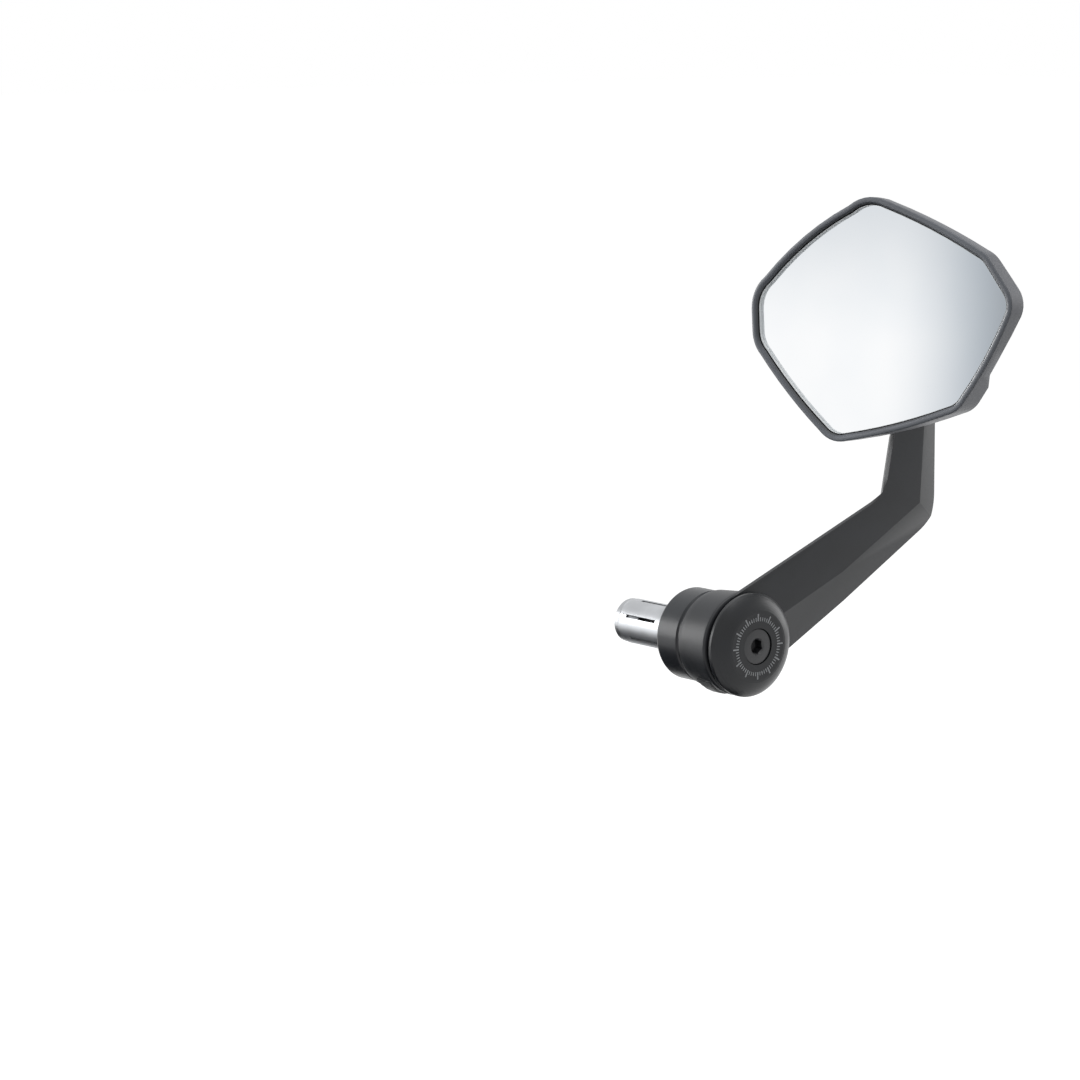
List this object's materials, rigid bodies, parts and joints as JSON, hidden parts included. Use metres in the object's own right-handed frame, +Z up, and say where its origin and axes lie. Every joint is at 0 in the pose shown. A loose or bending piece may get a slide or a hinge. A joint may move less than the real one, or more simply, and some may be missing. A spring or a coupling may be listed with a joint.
{
  "type": "motorcycle bar end mirror",
  "caption": "Bar end mirror: cranked black alloy arm that turns on an expanding plug, and a seven-cornered glass in a housing on a ball joint.",
  "frame": {"origin": "on the handlebar's axis, at the collar's face that seats on the end of the bar", "axes": "+X outward along the bar, +Y forward on the motorcycle, +Z up"},
  "size_m": [0.1339, 0.1256, 0.1785],
  "materials": {
    "black_alloy": "satin black anodised, turned",
    "arm_alloy": "satin black anodised over a fine blast",
    "black_steel": "black oxide, slightly oiled",
    "zinc_steel": "zinc plated",
    "bare_alloy": "machined, bare",
    "spring_steel": "rolled, matt",
    "black_nylon": "smooth, matt",
    "bush_plastic": "smooth, low friction",
    "liner_plastic": "smooth, low friction",
    "housing_plastic": "moulded, fine grain",
    "bezel_plastic": "moulded, satin",
    "inner_plastic": "moulded, plain",
    "foam_pad": "closed cell foam, matt",
    "mirror_glass": "back silvered, polished"
  },
  "bodies": {
    "bar_end": {"inner_collar": "black_alloy", "end_cap": "black_alloy", "centre_screw": "black_steel", "front_cone": "zinc_steel", "expander_sleeve": "bare_alloy", "cone_nut": "zinc_steel", "cap_dowels": "zinc_steel", "inner_thrust_washer": "black_nylon", "outer_thrust_washer": "black_nylon", "wave_washer": "spring_steel"},
    "arm": {"mirror_arm": "arm_alloy", "ring_bush": "bush_plastic", "ball_stud": "zinc_steel", "stud_washer": "zinc_steel", "stud_nut": "zinc_steel"},
    "pan_cup": {"rear_liner": "liner_plastic"},
    "tilt_cup": {"front_liner": "liner_plastic"},
    "head": {"rear_housing": "housing_plastic", "pressure_cup": "inner_plastic", "clamp_plate": "spring_steel", "clamp_screws": "zinc_steel", "glass_carrier": "inner_plastic", "carrier_screws": "zinc_steel", "glass_pad": "foam_pad", "mirror_glass": "mirror_glass", "front_bezel": "bezel_plastic"}
  },
  "joints": [
    {"name": "arm_swivel", "type": "hinge", "parent": "bar_end", "child": "arm", "pos_m": [0.0212, 0, 0], "axis": [1, 0, 0], "continuous": true},
    {"name": "head_pan", "type": "hinge", "parent": "arm", "child": "pan_cup", "pos_m": [0.027, 0.0735, 0.112], "axis": [0, 0, 1], "range_deg": [-20, 8]},
    {"name": "head_tilt", "type": "hinge", "parent": "pan_cup", "child": "tilt_cup", "pos_m": [0.027, 0.0735, 0.112], "axis": [0.9903, 0.1392, 0], "range_deg": [-10, 10]},
    {"name": "head_roll", "type": "hinge", "parent": "tilt_cup", "child": "head", "pos_m": [0.027, 0.0735, 0.112], "axis": [0.139, -0.9889, 0.0523], "range_deg": [-30, 30]}
  ]
}
